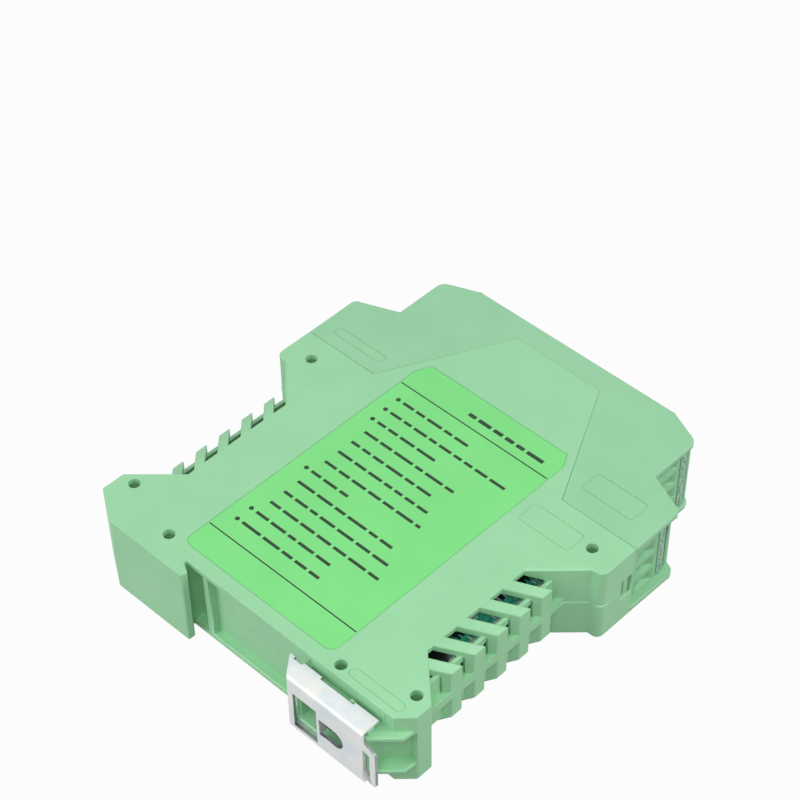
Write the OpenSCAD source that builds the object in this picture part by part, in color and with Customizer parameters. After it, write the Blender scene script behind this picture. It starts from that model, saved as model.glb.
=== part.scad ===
// Signal isolator module for a 35 mm rail, lying on its flat side.
// X runs from the rail to the front, Y along the height, Z through the width.

/* [Case] */
// Width of the module along the rail
case_w = 22.5; // [22.5:0.5:30]
// Thickness of the two face plates
plate_t = 1.6; // [1.2:0.1:1.8]
// Thickness of the side walls
wall_t = 1.6; // [1.2:0.1:2]
// Play between moulded pieces that clip together
fit = 0.15; // [0.1:0.05:0.2]

/* [Plan lengths] */
// Rail plane to the rear corner on the latch side
corner_x = 3.6; // [3:0.1:4.5]
// Rail plane to the end of the hip wall
hip_x = 8.1; // [7:0.1:10]
// Slope from hip to waist
hip_run = 10.5; // [9:0.5:13]
// Length of the vented waist
waist_len = 31.75; // [24:0.25:46]
// Slope from waist to shoulder
flank_run = 10.65; // [9:0.05:13]
// Shoulder to hood seam
shoulder_len = 11.6; // [10:0.1:16]
// Hood seam to the front corner of the lower tier
lower_tier_len = 16; // [15.5:0.1:20]
// Slope from lower tier to upper tier
tier_slope = 4.8; // [3:0.1:7]
// Length of the upper tier
upper_tier_len = 15.4; // [15:0.1:20]
// Slope from upper tier to front face
nose_slope = 4.1; // [3:0.1:6]

/* [Plan half heights] */
// Half height of the vented waist
waist_y = 38.7; // [38:0.1:41]
// Half height at the hips
hip_y = 49.8; // [49:0.1:51]
// Half height at the shoulders
shoulder_y = 53; // [52.5:0.1:56]
// Half height at the upper tier
upper_y = 41.6; // [41:0.1:43]
// Half height of the front face
nose_y = 31.6; // [29:0.1:34]

/* [Fixed foot] */
// How far the foot stands behind the rail plane
foot_reach = 4.1; // [3.6:0.1:5]
// Half height where the foot slope starts
foot_y = 40.7; // [36:0.1:44]
// Rail plane to the foot corner
foot_corner_x = 1.7; // [0.5:0.1:3]
// Tip of the hook from the rail centre
hook_y = 16.1; // [15.5:0.1:16.5]
// Seat of the rail edge from the rail centre
hook_seat_y = 18.9; // [18:0.1:20]

/* [Rail recess] */
// Depth of the rail panel behind the face plate edges
recess_d = 2; // [1.2:0.1:3]
// Offset of the rail rib from the rail centre
rib_y = 13; // [10:0.5:15]
// Thickness of the rail rib
rib_t = 1.8; // [1.2:0.1:2.4]

/* [Hood and tongue] */
// Half height of the tongue at the seam
tongue_y = 30.6; // [29:0.1:34]
// Half height of the tongue tip
tongue_tip_y = 13.5; // [8:0.5:20]
// Front face to tongue tip
tongue_gap = 6.7; // [5:0.1:10]
// Thickness of the hood walls
hood_t = 1.1; // [1:0.1:1.4]
// Setback of the hood walls from the plate edges
hood_back = 0.45; // [0.3:0.05:0.6]

/* [Vents] */
// Half height at the outer side of the fins
vent_y = 45.4; // [43:0.1:47]
// Drop of the fins from the face to their outer side
vent_drop = 3.5; // [3:0.1:6]
// Width of one fin
fin_w = 3.5; // [2.5:0.1:4.5]
// Pitch of the fins
fin_pitch = 7.5; // [6.5:0.1:10]
// Thickness of the fins
fin_t = 1.7; // [1.2:0.1:2]
// Half thickness of the ledge at the parting plane
ledge_t = 1.4; // [0.8:0.1:2]

/* [Terminals] */
// Margin between each face and the end poles
tier_margin = 1.09; // [1:0.01:1.2]
// Setback of the lower tier blocks from the shoulder
lower_inset = 2.2; // [1.6:0.1:2.8]
// Setback of the upper tier blocks from the tier edge
upper_inset = 1; // [0.5:0.1:1.6]
// Length of a block along X
block_len = 11.4; // [11.2:0.1:11.6]
// Depth of a block
block_depth = 10.5; // [10:0.1:10.9]
// Width of a wire entry
entry_w = 6.5; // [5:0.1:6.8]
// Thickness of the bars between the wire entries
bar_t = 1.7; // [1.6:0.1:2.2]

/* [Rail latch] */
// How far the latch plate stands behind the rail plane
latch_reach = 6.6; // [6.2:0.1:7.5]
// Width of the latch
latch_w = 17.9; // [17.3:0.1:18.2]
// Sheet thickness
sheet_t = 0.8; // [0.6:0.05:1]
// Running clearance of the latch
slide_gap = 0.3; // [0.3:0.05:0.5]
// Travel of the latch
latch_travel = 4.5; // [3:0.1:5]
// Length of the pull tab
tab_len = 4.5; // [4:0.1:6]
// Lean of the pull tab
tab_lean = 8; // [2:1:15]
// Radius of the spring to the middle of its wire
spring_r = 2.3; // [1.8:0.05:2.4]
// Spring wire diameter
wire_d = 0.6; // [0.4:0.05:0.7]
// Turns of the spring
spring_turns = 8; // [6:0.5:9]

/* [Label] */
// Half height of the label recess
label_y = 24.1; // [20:0.1:26]
// Rail plane to the rear edge of the label recess
label_x = 3.6; // [3:0.1:8]
// Depth of the label recess
label_d = 0.2; // [0.15:0.05:0.4]
// Thickness of the label
label_t = 0.15; // [0.1:0.05:0.3]

/* [Board] */
// Thickness of the circuit board
board_t = 1.6; // [1.2:0.1:1.6]
// Half height of the board in the waist
board_y = 38.4; // [37.5:0.1:38.4]

/* [Hidden] */
$fn = 48;

// Plan stations from the rail plane to the front face
waist_rear_x = hip_x + hip_run;
waist_front_x = waist_rear_x + waist_len;
shoulder_x = waist_front_x + flank_run;
seam_x = shoulder_x + shoulder_len;
lower_tier_x = seam_x + lower_tier_len;
step_x = lower_tier_x + tier_slope;
upper_tier_x = step_x + upper_tier_len;
front_x = upper_tier_x + nose_slope;
tongue_x = front_x - tongue_gap;
rear_x = -latch_reach - tab_len * sin(tab_lean);
mid_x = (front_x + rear_x) / 2;

// Heights through the width
parting_z = case_w / 2;
under_plate = case_w - plate_t;
join = 0.3;
slope_y = hip_y - waist_y;
arc_steps = 6;
mark_d = 0.12;
mark_w = 0.3;
tongue_fit = fit / 3;
vent_in = vent_y - 3.5;
label_front_x = seam_x + 0.37 * (tongue_x - seam_x) - 0.5;

// Snap windows beside the seam
snap_l = 3.5;
snap_w = 6;
snap_edge = 0.6;
snap_gap = 1.3;

// Vent fins, the baffle behind them and the slits in it
fin_run = flank_run / slope_y;
slot_w = fin_pitch - fin_w;
fin_count = floor((waist_len - slot_w + 3) / fin_pitch) + 1;
baffle = [vent_in + 0.5, vent_in + 1.5];
slit_w = 0.5;
slit_reach = 1;
slit_z = [1, 4];

// Rail side
panel_x = recess_d + wall_t;
lip_x = 0.8;
lip_tip_x = 2.3;
lip_lean = 0.3;
lip_round = 0.5;
lip_len = 5.9;
skirt_y = hip_y - corner_x - 0.1;

// Latch and its guide, distances along Y from the rail centre
latch_half = latch_w / 2;
latch_start = 20.2;
latch_end = 43.1;
flange_x = 1.2;
bend_r = 1.2;
window_start = latch_start + 1.5;
window_rib = [window_start - 0.7, window_start + 0.5];
tongue_start = 28.9;
tongue_end = tongue_start + sheet_t;
slot_end = tongue_end + 7.4;
tongue_low = 3.1;
tongue_high = 2.1;
lip_h = 1.35;
lip_w = 0.8;
lip_runs = [[latch_start + 0.1, latch_start + 5.8], [latch_end - 7.1, latch_end - 1.1]];
cut_d = 0.7;
shelf_t = 1.2;
shelf_gap = 0.4;
shelf_x = latch_reach - sheet_t - shelf_gap;
shelf_top = latch_half - sheet_t - lip_h - slide_gap;
shelf_start = 19;
guide_x = flange_x + lip_w + shelf_gap;
guide_w = 2.2;
spring_room = spring_turns * wire_d + 1.5;
stop_y = tongue_end + latch_travel + spring_room;
stop_t = 2.9;
nub_w = 1.2;
nub_x = 0.8;
seat_x = 0.8;
spring_x = -latch_reach + sheet_t + slide_gap + spring_r + wire_d / 2;
spigot_r = spring_r - wire_d / 2 - slide_gap - fit;
tab_half = 6;
tab_round = 1.2;
tab_rim = 2;
tab_window = 3.6;

// Locating pins and board posts
pin_places = [[shoulder_x + 4.9, 45.55], [hip_x - 0.25, 45.6], [recess_d + 0.7, 27.8]];
bore_r = 1.5;
boss_r = 2.5;
pin_r = bore_r - 0.1;
pin_h = 3.5;
relief_r = boss_r - 0.5;
relief_z = pin_h + 0.5;
post_places = [[waist_rear_x - 5, 28], [shoulder_x + 3, 28]];
post_r = 2.2;
peg_r = 1;

// Terminals, measured in the block from its rear outer corner
pole_count = 4;
pole_pitch = (case_w - 2 * tier_margin) / pole_count;
pole_room = tier_margin + pole_pitch / 2 - plate_t - fit;
end_wall = 0.3;
block_gap = 1.75;
lower_x = lower_tier_x - block_gap - block_len;
upper_x = upper_tier_x - block_gap - block_len;
lower_face = shoulder_y - lower_inset;
upper_face = upper_y - upper_inset;
entry_x = 1.25;
entry_h = pole_pitch - bar_t;
funnel_d = 1.6;
funnel_x = 2.8;
funnel_z = 0.45;
pocket_y = 3.05;
pocket_d = 4.9;
pocket_h = 2 * (pole_room - end_wall);
pocket_len = 5.9;
cage_t = 0.4;
screw_y = pocket_y + pocket_d / 2;
screw_r = pocket_h / 2 - cage_t - 2.5 * fit;
head_r = pocket_h / 2 - fit;
head_h = 1.8;
access_r = head_r + 2 * fit;
strip_w = 2.1;
strip_t = 0.25;
lead_t = 0.8;
lead_step = 2.2;
lead_order = [3, 2, 0, 1];

// Board
board_z = parting_z - pole_pitch / 2 + lead_t / 2 + slide_gap;
board_top = board_z + board_t;
board_rear_x = panel_x + 2.9;
board_front_x = upper_x + block_len - 3;
board_step_x = step_x - 1.5;
board_nose_y = upper_face - block_depth - 0.7;

// Parts on the board
board_room = under_plate - board_top - 0.5;
coil_h = board_room - 0.4;
core_x = 15;
core_y = 16;
core_h = 0.62 * coil_h;
core_limb = 4.6;
core_window = 2.4;
core_yoke = 3;
can_r = 3.15;
can_h = 0.85 * board_room;
can_rim = 0.65;
chip_x = 5;
chip_y = 4;
chip_h = 1.5;
chip_gap = 0.15;
leg_pitch = 1.27;
leg_w = 0.4;
leg_l = 1.2;
leg_t = 0.3;
choke_r = 4;
choke_h = 5.2;
choke_flange = 1.2;

function pole_z(k) = parting_z + (k - (pole_count - 1) / 2) * pole_pitch;
function unit(v) = v / norm(v);
function flat(p) = [p[0], p[1]];
function reverse(list) = [for (i = [len(list) - 1 : -1 : 0]) list[i]];
function flip(path) = [for (p = reverse(path)) [p[0], -p[1], p[2]]];
function normal(a, b) = let (u = unit(flat(b) - flat(a))) [-u[1], u[0]];
function turn(a, b, c) = (b[0] - a[0]) * (c[1] - b[1]) - (b[1] - a[1]) * (c[0] - b[0]);
function mitre(a, b, c, t) =
    let (m = normal(a, b), n = normal(b, c)) flat(b) + t * (m + n) / (1 + m * n);

// Open path shifted to its left, each point is x, y and corner radius
function inset(path, t) =
    let (n = len(path) - 1)
    [for (i = [0 : n])
        let (p = path[i],
             q = i == 0 ? flat(p) + t * normal(p, path[1])
               : i == n ? flat(p) + t * normal(path[n - 1], p)
               : mitre(path[i - 1], p, path[i + 1], t),
             bend = i == 0 || i == n ? 0 : sign(turn(path[i - 1], p, path[i + 1])))
        [q[0], q[1], p[2] > 0 ? max(0, p[2] - bend * t) : 0]];

function corner_arc(a, b, c) =
    let (u = unit(flat(a) - flat(b)), v = unit(flat(c) - flat(b)),
         half = acos(u * v) / 2,
         mid = flat(b) + unit(u + v) * b[2] / sin(half),
         p = flat(b) + u * b[2] / tan(half) - mid,
         q = flat(b) + v * b[2] / tan(half) - mid,
         start = atan2(p[1], p[0]),
         sweep = (atan2(q[1], q[0]) - start + 540) % 360 - 180)
    [for (k = [0 : arc_steps]) mid + b[2] * [cos(start + sweep * k / arc_steps),
                                             sin(start + sweep * k / arc_steps)]];

function rounded(path) =
    let (n = len(path))
    [for (i = [0 : n - 1])
        each path[i][2] > 0 ? corner_arc(path[(i + n - 1) % n], path[i], path[(i + 1) % n])
                            : [flat(path[i])]];

// Closed outline of a wall of thickness t on the left of an open path
function square_ends(path) =
    let (n = len(path) - 1)
    [for (i = [0 : n]) i == 0 || i == n ? [path[i][0], path[i][1], 0] : path[i]];
function strip(path, t) =
    let (open = square_ends(path)) concat(rounded(open), reverse(rounded(inset(open, t))));

// Sides of the vent between the two slopes at a half height y
function hip_at(y) = waist_rear_x - hip_run * (y - waist_y) / slope_y;
function flank_at(y) = waist_front_x + flank_run * (y - waist_y) / slope_y;

// Edges of the hood between its tiers and beside its front face at a half height y
function step_at(y) = lower_tier_x + tier_slope * (shoulder_y - y) / (shoulder_y - upper_y);
function nose_at(y) = upper_tier_x + nose_slope * (upper_y - y) / (upper_y - nose_y);

// Case outline on the latch side, from the waist to the seam and from the rear to the waist
flank_path = [[waist_front_x, -waist_y, 0], [shoulder_x, -hip_y, 0],
              [shoulder_x, -shoulder_y, 2], [seam_x, -shoulder_y, 0]];
hip_path = [[corner_x, -hip_y, 0], [hip_x, -hip_y, 0], [waist_rear_x, -waist_y, 0]];
foot_path = [[-foot_reach, -hook_y - lip_len, 0], [-foot_reach, -foot_y, 1],
             [foot_corner_x, -hip_y, 1], [hip_x, -hip_y, 0], [waist_rear_x, -waist_y, 0]];
tongue_path = [[seam_x, -shoulder_y, 0], [seam_x, -tongue_y, 0], [tongue_x, -tongue_tip_y, 0]];
seam_path = [[seam_x + fit, -shoulder_y, 0], [seam_x + fit, -tongue_y - tongue_fit, 0],
             [tongue_x + tongue_fit, -tongue_tip_y - tongue_fit, 0]];
face_path = concat([[0, -skirt_y, 0]], hip_path, flank_path, [for (i = [1, 2]) tongue_path[i]],
                   flip(concat(foot_path, flank_path, [for (i = [1, 2]) tongue_path[i]])),
                   flip([[0, -hook_seat_y, 0], [-lip_x, -hook_seat_y, 0], [-lip_tip_x, -hook_y, 0],
                         [-foot_reach, -hook_y - lip_lean, lip_round]]));
hood_path = [[lower_tier_x, -shoulder_y, 2.5], [step_x, -upper_y, 0],
             [upper_tier_x, -upper_y, 3], [front_x, -nose_y, 1]];
label_path = [[label_x, -label_y, 2.5], [label_front_x - 4, -label_y, 0],
              [label_front_x, -label_y + 2, 0]];

module placed() {
    translate([-mid_x, 0, 0]) children();
}

module both_sides() {
    children();
    mirror([0, 1, 0]) children();
}

module slab(path, z, h) {
    translate([0, 0, z]) linear_extrude(h) polygon(rounded(path));
}

module wall(path, t, z, h) {
    translate([0, 0, z]) linear_extrude(h) polygon(strip(path, t));
}

module block_at(x0, x1, y0, y1, z0, z1) {
    translate([x0, y0, z0]) cube([x1 - x0, y1 - y0, z1 - z0]);
}

module pin_at(p, r, z, h) {
    translate([p[0], p[1], z]) cylinder(r = r, h = h);
}

// Faint outline of a mould insert, with rounded corners
module mark(x0, x1, y0, y1, r) {
    outer = [[x0, y0, r], [x1, y0, r], [x1, y1, r], [x0, y1, r]];
    inner = [[x0 + mark_w, y0 + mark_w, r - mark_w], [x1 - mark_w, y0 + mark_w, r - mark_w],
             [x1 - mark_w, y1 - mark_w, r - mark_w], [x0 + mark_w, y1 - mark_w, r - mark_w]];
    difference() {
        slab(outer, case_w - mark_d, mark_d + 1);
        slab(inner, case_w - 1, 3);
    }
}

// Half of the vent above the parting plane, on the side of positive Y
module vent() {
    baffle_top = case_w - vent_drop - 0.2;
    band = [[vent_y, parting_z, 0], [vent_y, case_w - vent_drop, 0], [waist_y, case_w, 0]];
    for (k = [0 : fin_count - 1]) {
        x = waist_front_x - slot_w - k * fin_pitch;
        intersection() {
            rotate([90, 0, 90]) linear_extrude(front_x) polygon(strip(band, fin_t));
            translate([0, 0, parting_z]) linear_extrude(case_w) polygon([
                [x - fin_w - fin_run * fin_t, waist_y - fin_t], [x - fin_run * fin_t, waist_y - fin_t],
                [x + fin_run * (vent_y - waist_y), vent_y],
                [x - fin_w + fin_run * (vent_y - waist_y), vent_y]]);
        }
    }
    slab([[hip_at(vent_in) - join, vent_in, 0], [flank_at(vent_in) + join, vent_in, 0],
          [flank_at(vent_y) + join, vent_y, 0], [hip_at(vent_y) - join, vent_y, 0]],
         parting_z, ledge_t);
    slab([[hip_at(baffle[0]) - join, baffle[0], 0], [flank_at(baffle[0]) + join, baffle[0], 0],
          [flank_at(baffle[1]) + join, baffle[1], 0], [hip_at(baffle[1]) - join, baffle[1], 0]],
         parting_z, baffle_top - parting_z);
}

// Slits in the baffle, one behind the front end of each gap but the first
module slits() {
    for (k = [1 : fin_count - 1]) {
        x = waist_front_x - k * fin_pitch + fin_run * (baffle[1] - waist_y);
        block_at(x - slit_w, x + slit_reach, baffle[0] - 0.2, baffle[1] + 0.2,
                 parting_z + ledge_t + slit_z[0], parting_z + ledge_t + slit_z[1]);
    }
}

// Case wall that is open below the slope of the fins
module vented_wall(path) {
    fall = vent_drop / (vent_y - waist_y);
    root_z = case_w - fin_t * sqrt(1 + fall * fall);
    difference() {
        wall(path, wall_t, parting_z, under_plate - parting_z + join);
        rotate([90, 0, 90]) linear_extrude(front_x) polygon([
            [-vent_in, parting_z - 1], [2 * wall_t - waist_y, parting_z - 1], [2 * wall_t - waist_y, root_z],
            [-waist_y, root_z], [-vent_in, root_z - fall * (vent_in - waist_y)]]);
    }
}

// Upper part of the fixed foot and its hook, mirrored into place
module foot() {
    vented_wall(foot_path);
    slab([[-foot_reach, -hook_y - lip_len, 0], [-foot_reach + wall_t, -hook_y - lip_len, 0],
          [-lip_x - 0.4, -hook_seat_y - wall_t, 0], [panel_x, -hook_seat_y - wall_t, 0],
          [panel_x, -hook_seat_y, 0], [-lip_x, -hook_seat_y, 0], [-lip_tip_x, -hook_y, 0],
          [-foot_reach, -hook_y - lip_lean, lip_round]],
         parting_z, under_plate - parting_z + join);
}

// Upper half of the guide that carries the latch
module guide() {
    shelf_z = parting_z + shelf_top;
    diag = [[-0.45, -stop_y - stop_t, 0], [corner_x + 1.7, -hip_y + wall_t / 2, 0]];
    slab([[panel_x, -shelf_start, 0], [-shelf_x, -shelf_start, 0], [-shelf_x, -latch_end - 0.2, 0],
          [0.1, -hip_y + 0.7, 0], [corner_x + 0.6, -hip_y + 0.3, 0],
          [corner_x + 1.4, -hip_y + wall_t, 0], [panel_x, -stop_y - stop_t, 0], [panel_x, -stop_y, 0],
          [wall_t, -stop_y, 0], [wall_t, -window_rib[1], 0], [panel_x, -window_rib[1], 0]],
         shelf_z - shelf_t, shelf_t);
    block_at(0, wall_t, -skirt_y, -window_rib[0], shelf_z - shelf_t, under_plate + join);
    block_at(0, panel_x, -window_rib[1], -window_rib[0], shelf_z - shelf_t, under_plate + join);
    block_at(-guide_x - guide_w, -guide_x, -latch_end, -shelf_start,
             shelf_z - join, parting_z + latch_half - sheet_t - slide_gap);
    block_at(-flange_x - cut_d + slide_gap, -nub_x, -lip_runs[1][0] + slide_gap,
             -lip_runs[1][0] + slide_gap + nub_w, shelf_z - join, parting_z + latch_half - 0.2);
    block_at(-shelf_x, panel_x, -stop_y - stop_t, -stop_y, parting_z, shelf_z - join);
    block_at(-shelf_x + 0.6, panel_x, -window_rib[1], -window_rib[0], parting_z, shelf_z - join);
    wall(diag, wall_t, parting_z, under_plate - parting_z + join);
    wall([[0, -skirt_y, 0], [corner_x, -hip_y, 0]], wall_t + 1.2, shelf_z - shelf_t,
         under_plate - shelf_z + shelf_t + join);
    intersection() {
        translate([spring_x, -stop_y + 3, parting_z]) rotate([90, 0, 0]) cylinder(r = spigot_r, h = 4);
        block_at(-latch_reach, panel_x, -stop_y - stop_t, -shelf_start, parting_z, case_w);
    }
}

// Half of the case above the parting plane
module half_case() {
    slab(face_path, under_plate, plate_t);
    difference() {
        both_sides() vented_wall(flank_path);
        both_sides() block_at(seam_x - snap_edge - snap_l, seam_x - snap_edge,
                              -shoulder_y - 1, -shoulder_y + wall_t + 1,
                              parting_z - snap_w / 2, parting_z + snap_w / 2);
    }
    vented_wall(hip_path);
    mirror([0, 1, 0]) foot();
    guide();
    mirror([0, 1, 0]) vent();
    vent();
    block_at(recess_d, panel_x, -window_rib[1], rib_y + rib_t / 2, parting_z, under_plate + join);
    block_at(0, recess_d + join, rib_y - rib_t / 2, rib_y + rib_t / 2, parting_z, under_plate + join);
    both_sides() for (p = pin_places) pin_at(p, boss_r, parting_z, under_plate - parting_z + join);
}

module upper_half_shell() {
    color([0.52, 0.76, 0.58]) placed() difference() {
        half_case();
        both_sides() for (p = pin_places) {
            pin_at(p, bore_r, parting_z - 1, case_w);
            pin_at(p, relief_r, parting_z + relief_z, under_plate - parting_z - relief_z);
        }
        both_sides() slits();
        slab(concat(label_path, flip(label_path)), case_w - label_d, 1);
        mark(recess_d - 0.3, recess_d + 2.6, -skirt_y - 0.3, -30.2, 1.4);
        mark(shoulder_x + 0.1, shoulder_x + 6.7, -42.2, -26.8, 1);
        block_at(recess_d - 1, recess_d + mark_d, -window_rib[0], rib_y - rib_t / 2,
                 parting_z - 1, parting_z + mark_d);
    }
}

module lower_half_shell() {
    color([0.5, 0.74, 0.56]) placed() {
        translate([0, 0, case_w]) mirror([0, 0, 1]) half_case();
        both_sides() for (p = pin_places) pin_at(p, pin_r, parting_z - join, pin_h + join);
        both_sides() for (p = post_places) {
            pin_at(p, post_r, plate_t - join, board_z - plate_t + join);
            pin_at(p, peg_r, board_z - join, board_t + join);
        }
    }
}

module front_hood() {
    plate = concat(hood_path, flip(hood_path), reverse(concat(seam_path, flip(seam_path))));
    slope = [[step_at(lower_face), -lower_face, 0], [step_at(upper_face - wall_t), -upper_face + wall_t, 0]];
    nose = [[nose_at(upper_face), -upper_face, 0], hood_path[3]];
    inner_y = shoulder_y - wall_t - fit;
    tongue_t = 1.2;
    color([0.54, 0.78, 0.6]) placed() difference() {
        union() {
            difference() {
                union() {
                    slab(plate, 0, plate_t);
                    slab(plate, under_plate, plate_t);
                }
                mark(seam_x + 5.8, seam_x + 12.4, -46.8, -31.3, 1);
                mark(seam_x + 3.6, seam_x + 6.6, 32, 48.8, 1.45);
            }
            both_sides() wall(inset(slope, hood_back), hood_t, plate_t - join,
                              case_w - 2 * plate_t + 2 * join);
            wall(inset(concat(nose, flip(nose)), hood_back), hood_t, plate_t - join,
                 case_w - 2 * plate_t + 2 * join);
            both_sides() {
                block_at(seam_x + fit, lower_x - fit, -inner_y, -inner_y + tongue_t,
                         plate_t - join, under_plate + join);
                block_at(step_at(upper_face) - hood_back - hood_t, upper_x - fit,
                         -upper_face, -upper_face + wall_t, plate_t - join, under_plate + join);
                block_at(seam_x - snap_edge - snap_l + snap_gap, seam_x + fit + join,
                         -inner_y, -inner_y + tongue_t,
                         parting_z - snap_w / 2 + 0.3, parting_z + snap_w / 2 - 0.3);
                block_at(seam_x - snap_edge - snap_l + snap_gap, seam_x - snap_edge - 0.3,
                         -shoulder_y + 0.6, -inner_y + join,
                         parting_z - snap_w / 2 + 0.4, parting_z + snap_w / 2 - 0.4);
            }
        }
        both_sides() for (k = [0 : pole_count - 1]) {
            translate([lower_tier_x - 0.5, -lower_face + screw_y, pole_z(k)])
                rotate([0, 90, 0]) cylinder(r = access_r, h = tier_slope + 1);
            translate([upper_tier_x - 0.5, -upper_face + screw_y, pole_z(k)])
                rotate([0, 90, 0]) cylinder(r = access_r, h = nose_slope + 1);
        }
    }
}

// Puts a block or one of its inner pieces on its tier, drawn with the wire face at y = 0
module on_tier(lower, left) {
    placed() mirror([0, left ? 0 : 1, 0])
        translate(lower ? [lower_x, lower_face, 0] : [upper_x, upper_face, 0]) children();
}

module every_tier() {
    for (lower = [true, false], left = [true, false]) on_tier(lower, left) children();
}

module terminal_block() {
    low = plate_t + fit;
    mid = entry_x + entry_w / 2;
    tall = entry_h / 2;
    throat = tall - funnel_z;
    deep = pocket_y + 1;
    difference() {
        block_at(0, block_len, -block_depth, 0, low, case_w - low);
        for (k = [0 : pole_count - 1]) translate([0, 0, pole_z(k)]) {
            intersection() {
                translate([entry_x, 0, 0]) rotate([90, 0, 90]) linear_extrude(entry_w) polygon([
                    [1, -tall], [0, -tall], [-funnel_d, -throat], [-deep, -throat],
                    [-deep, throat], [-funnel_d, throat], [0, tall], [1, tall]]);
                translate([entry_x, 0, -tall]) linear_extrude(entry_h) polygon([
                    [0, 1], [0, -deep], [entry_w - funnel_x, -deep], [entry_w - funnel_x, -funnel_d],
                    [entry_w, 0], [entry_w, 1]]);
            }
            block_at(mid - pocket_len / 2, mid + pocket_len / 2, -pocket_y - pocket_d, -pocket_y,
                     -pocket_h / 2, pocket_h / 2);
            translate([mid, -screw_y, 0]) rotate([0, 90, 0]) cylinder(r = head_r + fit, h = block_len);
            block_at(mid - lead_t, mid + lead_t, -block_depth - 1, -pocket_y, -lead_t, lead_t);
        }
    }
}

module marker_strip() {
    block_at(block_len - strip_w - 0.35, block_len - 0.35, 0, strip_t, plate_t + 0.5,
             case_w - plate_t - 0.5);
}

module terminal_block_lower_left() {
    color([0.5, 0.72, 0.55]) on_tier(true, true) terminal_block();
}

module terminal_block_lower_right() {
    color([0.5, 0.72, 0.55]) on_tier(true, false) terminal_block();
}

module terminal_block_upper_left() {
    color([0.5, 0.72, 0.55]) on_tier(false, true) terminal_block();
}

module terminal_block_upper_right() {
    color([0.5, 0.72, 0.55]) on_tier(false, false) terminal_block();
}

module marker_strip_lower_left() {
    color([0.8, 0.82, 0.8]) on_tier(true, true) marker_strip();
}

module marker_strip_lower_right() {
    color([0.8, 0.82, 0.8]) on_tier(true, false) marker_strip();
}

module marker_strip_upper_left() {
    color([0.8, 0.82, 0.8]) on_tier(false, true) marker_strip();
}

module marker_strip_upper_right() {
    color([0.8, 0.82, 0.8]) on_tier(false, false) marker_strip();
}

module clamp_cages() {
    mid = entry_x + entry_w / 2;
    half = pocket_len / 2 - fit;
    tall = pocket_h / 2 - fit;
    color([0.75, 0.72, 0.6]) every_tier() for (k = [0 : pole_count - 1]) translate([mid, 0, pole_z(k)])
        difference() {
            block_at(-half, half, -pocket_y - pocket_d + fit, -pocket_y - fit, -tall, tall);
            block_at(-half + cage_t, half - cage_t, -pocket_y - pocket_d + fit + cage_t, 0,
                     -tall + cage_t, tall - cage_t);
            translate([half - 2 * cage_t, -screw_y, 0]) rotate([0, 90, 0])
                cylinder(r = screw_r + fit, h = pocket_len);
        }
}

module clamp_screws() {
    mid = entry_x + entry_w / 2;
    head_x = block_len - head_h - 0.6;
    color([0.8, 0.8, 0.82]) every_tier() for (k = [0 : pole_count - 1]) translate([0, -screw_y, pole_z(k)])
        difference() {
            union() {
                translate([mid + 0.4, 0, 0]) rotate([0, 90, 0]) cylinder(r = screw_r, h = head_x - mid);
                translate([head_x, 0, 0]) rotate([0, 90, 0]) cylinder(r = head_r, h = head_h);
            }
            block_at(head_x + head_h - 0.8, block_len, -0.3, 0.3, -head_r - 1, head_r + 1);
        }
}

// Bent strip from the back of a clamp to the board, on the tier whose board edge is given
module leads(edge) {
    mid = entry_x + entry_w / 2;
    start = pocket_y + pocket_d - fit;
    half = lead_t / 2;
    for (k = [0 : pole_count - 1]) {
        end = edge + 1.4 + lead_order[k] * lead_step;
        block_at(mid - half, mid + half, -end - half, -start, pole_z(k) - half, pole_z(k) + half);
        block_at(mid - half, mid + half, -end - half, -end + half,
                 min(pole_z(k) - half, board_z), max(pole_z(k) + half, board_top));
    }
}

module terminal_leads() {
    color([0.85, 0.83, 0.75]) for (left = [true, false]) {
        on_tier(true, left) leads(lower_face - board_y);
        on_tier(false, left) leads(upper_face - board_nose_y);
    }
}

module main_board() {
    hole_r = lead_t * 0.75;
    mid = entry_x + entry_w / 2;
    path = [[board_rear_x, -board_y, 1], [board_step_x, -board_y, 0],
            [board_step_x, -board_nose_y, 0], [board_front_x, -board_nose_y, 1]];
    color([0.08, 0.42, 0.32]) placed() difference() {
        slab(concat(path, flip(path)), board_z, board_t);
        both_sides() {
            for (p = post_places) pin_at([p[0], -p[1]], peg_r + fit, board_z - 1, board_t + 2);
            for (k = [0 : pole_count - 1]) {
                pin_at([lower_x + mid, -board_y + 1.4 + k * lead_step], hole_r, board_z - 1, board_t + 2);
                pin_at([upper_x + mid, -board_nose_y + 1.4 + k * lead_step], hole_r,
                       board_z - 1, board_t + 2);
            }
        }
    }
}

module side_label() {
    path = [[label_x + fit, -label_y + fit, 2.4], [label_front_x - 4, -label_y + fit, 0],
            [label_front_x - fit, -label_y + 2 + fit, 0]];
    color([0.53, 0.88, 0.55]) placed() slab(concat(path, flip(path)), case_w - label_d, label_t);
}

// Latch cross-section, one bent sheet with two flanges
module latch_channel() {
    top = parting_z + latch_half;
    low = parting_z - latch_half;
    translate([0, -hook_y, 0]) rotate([90, 0, 0]) linear_extrude(latch_end - hook_y) polygon(strip(
        [[-flange_x, top, 0], [-latch_reach, top, bend_r], [-latch_reach, low, bend_r],
         [-flange_x, low, 0]], sheet_t));
}

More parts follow.
